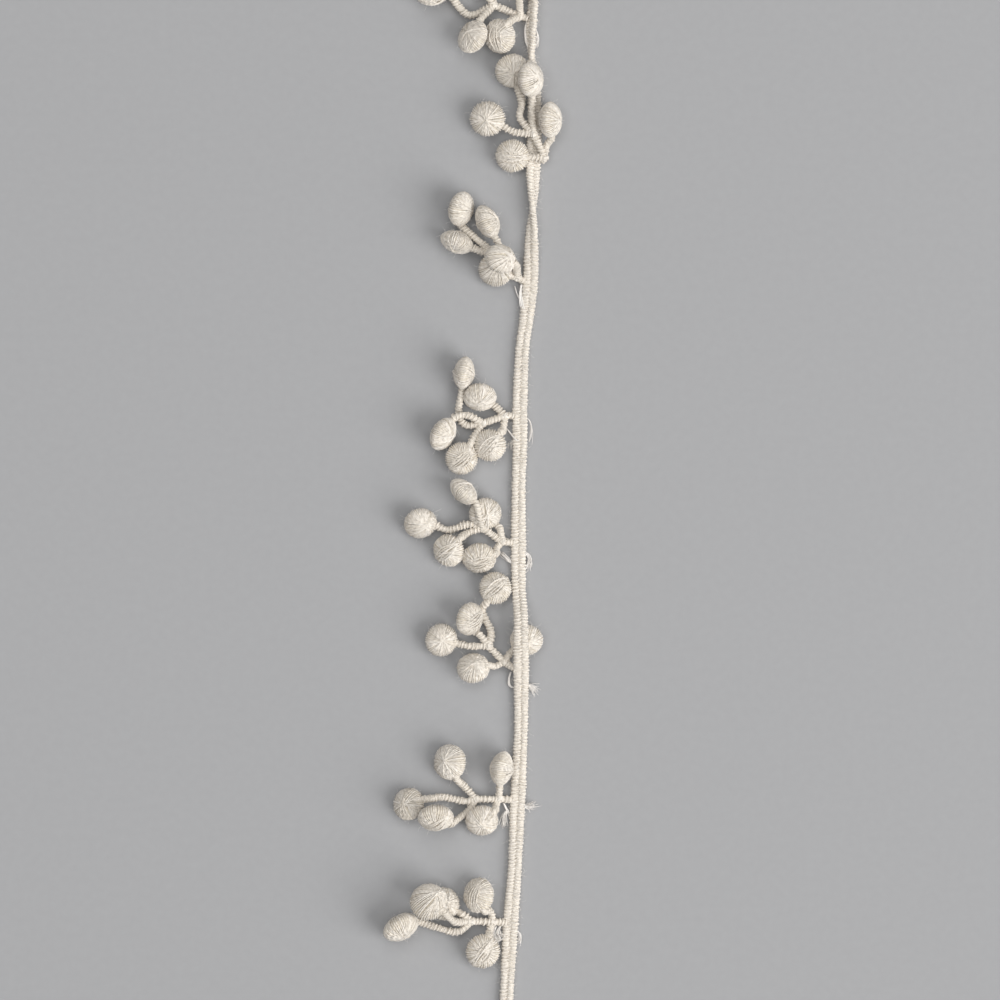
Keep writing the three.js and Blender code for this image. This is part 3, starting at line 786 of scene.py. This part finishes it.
def cotton_thread(name, low, high, sheen, relief):
    """Combed cotton yarn, two plies twisted, unbleached and unglazed: matt and cream, each thread a little
    lighter or darker than the next, with fine fibres that catch the light and a soft bloom at its edges."""
    material, tree, shader = new_material(name)
    shade = add_node(tree, "ShaderNodeAttribute", dict(attribute_name="shade"))
    coords = add_node(tree, "ShaderNodeTexCoord")
    # Cloudy tone of the undyed cotton, in patches
    cloud = add_node(tree, "ShaderNodeTexNoise", Vector=coords.outputs["Object"],
                     Scale=1 / (CLOUD_SIZE * MM), Detail=2.0)
    tone = add_node(tree, "ShaderNodeMath", dict(operation="MULTIPLY_ADD"),
                    n0=cloud.outputs["Fac"], n1=CLOUD_TONE, n2=-CLOUD_TONE / 2)
    lightness = add_node(tree, "ShaderNodeMath", dict(operation="ADD", use_clamp=True),
                         n0=shade.outputs["Fac"], n1=tone.outputs["Value"])
    colour = add_node(tree, "ShaderNodeMix", dict(data_type="RGBA"), Factor=lightness.outputs["Value"])
    colour.inputs["A"].default_value = linear(low)
    colour.inputs["B"].default_value = linear(high)
    uv = add_node(tree, "ShaderNodeUVMap", dict(uv_map="thread"))
    # Fibres along the thread, drawn about 0.14 mm apart because real ones, at 0.02 mm, are too fine to show
    stretch = add_node(tree, "ShaderNodeMapping", Vector=uv.outputs["UV"],
                       Scale=(1 / FIBRE_LENGTH, FIBRES_AROUND, 1.0))
    fibres = add_node(tree, "ShaderNodeTexNoise", Vector=stretch.outputs["Vector"], Scale=1.0, Detail=2.0)
    # Plies twisted together, each of them a ridge that slants round the thread
    parts = add_node(tree, "ShaderNodeSeparateXYZ", Vector=uv.outputs["UV"])
    around = add_node(tree, "ShaderNodeMath", dict(operation="MULTIPLY"),
                      n0=parts.outputs["Y"], n1=2 * PLIES * math.pi)
    turn = add_node(tree, "ShaderNodeMath", dict(operation="MULTIPLY_ADD"),
                    n0=parts.outputs["X"], n1=2 * math.pi / PLY_RIDGE, n2=around.outputs["Value"])
    plies = add_node(tree, "ShaderNodeMath", dict(operation="SINE"), n0=turn.outputs["Value"])
    height = add_node(tree, "ShaderNodeMath", dict(operation="MULTIPLY_ADD"),
                      n0=plies.outputs["Value"], n1=PLY_RELIEF, n2=fibres.outputs["Fac"])
    bump = add_node(tree, "ShaderNodeBump", Height=height.outputs["Value"],
                    Strength=0.8, Distance=relief * MM)
    rough = add_node(tree, "ShaderNodeMapRange", Value=fibres.outputs["Fac"], To_Min=0.68, To_Max=0.9)
    tree.links.new(colour.outputs["Result"], shader.inputs["Base Color"])
    tree.links.new(rough.outputs["Result"], shader.inputs["Roughness"])
    tree.links.new(bump.outputs["Normal"], shader.inputs["Normal"])
    shader.inputs["IOR"].default_value = COTTON_IOR
    shader.inputs["Specular IOR Level"].default_value = 0.35
    shader.inputs["Sheen Weight"].default_value = sheen
    shader.inputs["Sheen Roughness"].default_value = 0.5
    return material


def underlay_painted_shade():
    """Layers of the same cotton stitched close under the satin, seen only in the gaps: matt and flat, and
    painted a little darker than the satin as painted shade for the gaps."""
    material, tree, shader = new_material("underlay_painted_shade")
    coords = add_node(tree, "ShaderNodeTexCoord")
    rows = add_node(tree, "ShaderNodeTexNoise", Vector=coords.outputs["Object"],
                    Scale=1 / (UNDERLAY_STITCH * MM), Detail=1.0)
    colour = add_node(tree, "ShaderNodeMix", dict(data_type="RGBA"), Factor=rows.outputs["Fac"])
    # Painted shade: these colours are darker than the satin cotton's, for the shade in the gaps between
    # stitches
    colour.inputs["A"].default_value = linear("#CCC3B2")
    colour.inputs["B"].default_value = linear("#DCD3C3")
    bump = add_node(tree, "ShaderNodeBump", Height=rows.outputs["Fac"], Strength=0.5, Distance=0.1 * MM)
    tree.links.new(colour.outputs["Result"], shader.inputs["Base Color"])
    tree.links.new(bump.outputs["Normal"], shader.inputs["Normal"])
    shader.inputs["Roughness"].default_value = 0.9
    shader.inputs["IOR"].default_value = COTTON_IOR
    return material


def painted_board():
    """A board with pale grey matt paint: even, with a faint roller texture."""
    material, tree, shader = new_material("painted_board")
    coords = add_node(tree, "ShaderNodeTexCoord")
    marks = add_node(tree, "ShaderNodeTexNoise", Vector=coords.outputs["Object"],
                     Scale=1 / (ROLLER_MARK * MM), Detail=2.0)
    colour = add_node(tree, "ShaderNodeMix", dict(data_type="RGBA"), Factor=marks.outputs["Fac"])
    colour.inputs["A"].default_value = linear("#9D9D9E")
    colour.inputs["B"].default_value = linear("#A2A2A3")
    bump = add_node(tree, "ShaderNodeBump", Height=marks.outputs["Fac"], Strength=0.1, Distance=0.05 * MM)
    tree.links.new(colour.outputs["Result"], shader.inputs["Base Color"])
    tree.links.new(bump.outputs["Normal"], shader.inputs["Normal"])
    shader.inputs["Roughness"].default_value = 0.75
    return material


# Camera, light and floor
def look_down(middle_x, span, lens=250.0, sensor=36.0, height=2.5):
    """A camera straight above that takes in a span in millimetres, at the height of the berries' middles."""
    camera = bpy.data.cameras.new("camera")
    camera.lens = lens
    camera.sensor_width = sensor
    holder = bpy.data.objects.new("camera", camera)
    holder.location = (middle_x * MM, 0, (height + span * lens / sensor) * MM)
    bpy.context.collection.objects.link(holder)
    bpy.context.scene.camera = holder


def soft_light(name, azimuth, elevation, distance, size, power):
    """A square soft box that faces the trim's middle."""
    light = bpy.data.lights.new(name, "AREA")
    light.size = size
    light.energy = power
    holder = bpy.data.objects.new(name, light)
    turn, rise = math.radians(azimuth), math.radians(elevation)
    level = distance * math.cos(rise)
    holder.location = (level * math.cos(turn), level * math.sin(turn), distance * math.sin(rise))
    holder.rotation_euler = (0, math.pi / 2 - rise, turn)
    bpy.context.collection.objects.link(holder)


def pale_floor(material):
    """A floor 4 m across, a hair below the trim."""
    bpy.ops.object.select_all(action="DESELECT")
    bpy.ops.mesh.primitive_grid_add(x_subdivisions=4, y_subdivisions=4, size=4, location=(0, 0, -0.02 * MM))
    floor = bpy.context.object
    floor.name = "floor"
    bpy.ops.object.transform_apply(location=True, rotation=True, scale=True)
    floor.data.materials.append(material)


# The view, the light and the floor of this scene
look_down(middle_x=-4.625, span=250)
soft_light("window", azimuth=-28, elevation=36, distance=3.6, size=2.8, power=126)
soft_light("ceiling", azimuth=115, elevation=78, distance=2.2, size=2.4, power=31)
world = bpy.data.worlds.new("studio")
world.use_nodes = True
world.node_tree.nodes["Background"].inputs["Color"].default_value = linear("#F4F4F6")
world.node_tree.nodes["Background"].inputs["Strength"].default_value = 0.24
bpy.context.scene.world = world
bpy.context.scene.view_settings.view_transform = "Standard"
pale_floor(painted_board())

# Wound and stitched cotton, and the same cotton loose and untwisted: smoother to the eye, and paler, partly
# as the loose ends are whiter and partly as painted light for the light through their fine fibres
cotton = cotton_thread("cotton_thread", "#D7CEC0", "#F4EDE3", sheen=0.2, relief=0.1)
loose_cotton_painted_light = cotton_thread("loose_cotton_fibre", "#E8E2DB", "#F6F2ED", sheen=0.1, relief=0.02)
filling = underlay_painted_shade()

# The trim, piece by piece
heading = heading_stations(HEADING_PITCH / HEADING_POINTS)
left_core, left_wraps = heading_cord(heading, -1)
right_core, right_wraps = heading_cord(heading, 1)
thread_piece("heading_cores", [left_core, right_core], cotton)
thread_piece("heading_left_wraps", left_wraps, cotton)
thread_piece("heading_right_wraps", right_wraps, cotton)

underlay = model_underlay()
all_berries = []
for number, spray in enumerate(SPRAYS, start=1):
    poses, stems = spray_parts(heading, spray)
    berries = [berry_stitches(pose) for pose in poses]
    thread_piece(f"spray_{number}_berries", berries, cotton)
    thread_piece(f"spray_{number}_stems", stems, cotton)
    all_berries += berries
    underlay_piece(f"spray_{number}_underlay", underlay, poses, filling)
bpy.data.objects.remove(underlay)

thread_piece("loose_tails", [tail_threads(heading, row) for row in TAILS], loose_cotton_painted_light)
thread_piece("heading_fuzz", [fuzz_threads(left_wraps + right_wraps)], loose_cotton_painted_light)
thread_piece("berry_fuzz", [fuzz_threads(all_berries)], loose_cotton_painted_light)
